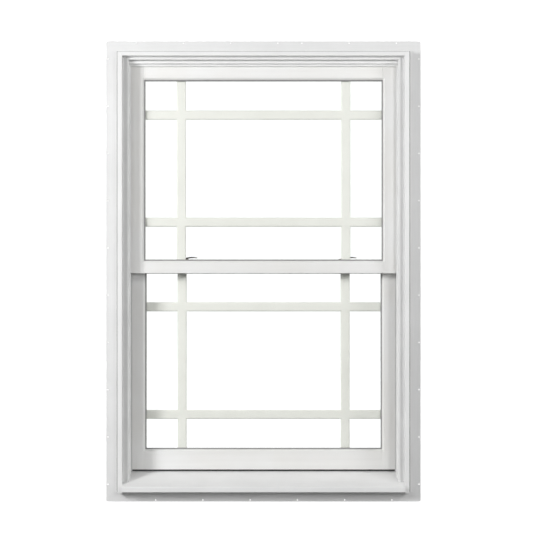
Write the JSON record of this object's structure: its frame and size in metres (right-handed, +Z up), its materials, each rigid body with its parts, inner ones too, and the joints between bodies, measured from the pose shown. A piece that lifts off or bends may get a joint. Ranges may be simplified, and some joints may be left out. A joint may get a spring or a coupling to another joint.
{
  "type": "double-hung sash window",
  "caption": "White double-hung sash window: clad frame with nailing fin and sloped sill, vertically sliding insulated sashes with grilles between the panes, and cam locks.",
  "frame": {"origin": "middle of the frame outline and of the side nail holes, on the back plane of the nailing fin", "axes": "+X right seen from outdoors, -Y outdoors, +Z up"},
  "size_m": [1.014, 0.166, 1.484],
  "materials": {
    "frame_wood": "matte",
    "cladding": "satin",
    "nail_fin": "satin",
    "liner": "satin",
    "sash": "satin",
    "indoor_paint": "satin",
    "glass": "gloss",
    "spacer": "satin",
    "grille": "satin",
    "weatherstrip": "matte",
    "balance_steel": "satin",
    "screw_steel": "satin",
    "hardware_bronze": "satin"
  },
  "bodies": {
    "frame": {"left_jamb": "frame_wood", "right_jamb": "frame_wood", "head_jamb": "frame_wood", "sill": "frame_wood", "left_cladding": "cladding", "right_cladding": "cladding", "head_cladding": "cladding", "sill_cladding": "cladding", "left_nail_fin": "nail_fin", "right_nail_fin": "nail_fin", "head_nail_fin": "nail_fin", "sill_nail_fin": "nail_fin", "fin_corner_patches": "nail_fin", "left_jamb_liner": "liner", "right_jamb_liner": "liner", "head_liner": "liner", "left_interior_stop": "indoor_paint", "right_interior_stop": "indoor_paint", "head_interior_stop": "indoor_paint", "head_weatherstrip": "weatherstrip", "upper_left_balance_tube": "balance_steel", "upper_right_balance_tube": "balance_steel", "lower_left_balance_tube": "balance_steel", "lower_right_balance_tube": "balance_steel", "balance_screws": "screw_steel", "frame_screws": "screw_steel"},
    "upper_sash": {"upper_left_stile": "sash", "upper_right_stile": "sash", "upper_top_rail": "sash", "upper_check_rail": "sash", "upper_outer_pane": "glass", "upper_inner_pane": "glass", "upper_spacer": "spacer", "upper_grille": "grille", "upper_glazing_beads": "indoor_paint", "upper_left_balance_rod": "balance_steel", "upper_right_balance_rod": "balance_steel", "upper_balance_brackets": "balance_steel", "left_keeper": "hardware_bronze", "right_keeper": "hardware_bronze", "keeper_screws": "hardware_bronze", "check_rail_weatherstrip": "weatherstrip"},
    "lower_sash": {"lower_left_stile": "sash", "lower_right_stile": "sash", "lower_check_rail": "sash", "lower_bottom_rail": "sash", "lower_outer_pane": "glass", "lower_inner_pane": "glass", "lower_spacer": "spacer", "lower_grille": "grille", "lower_glazing_beads": "indoor_paint", "lower_left_balance_rod": "balance_steel", "lower_right_balance_rod": "balance_steel", "lower_balance_brackets": "balance_steel", "left_lock_body": "hardware_bronze", "right_lock_body": "hardware_bronze", "lock_screws": "hardware_bronze", "bottom_weatherstrip": "weatherstrip"},
    "left_lock_lever": {"left_lock_lever": "hardware_bronze"},
    "right_lock_lever": {"right_lock_lever": "hardware_bronze"}
  },
  "joints": [
    {"name": "lower_sash_slide", "type": "slide", "parent": "frame", "child": "lower_sash", "axis": [0, 0, 1], "range_m": [0, 0.55]},
    {"name": "upper_sash_slide", "type": "slide", "parent": "frame", "child": "upper_sash", "axis": [0, 0, -1], "range_m": [0, 0.55]},
    {"name": "left_lock_turn", "type": "hinge", "parent": "lower_sash", "child": "left_lock_lever", "pos_m": [-0.261, 0.077, 0.045], "axis": [0, 0, 1], "range_deg": [0, 180]},
    {"name": "right_lock_turn", "type": "hinge", "parent": "lower_sash", "child": "right_lock_lever", "pos_m": [0.261, 0.077, 0.045], "axis": [0, 0, 1], "range_deg": [0, 180]}
  ]
}
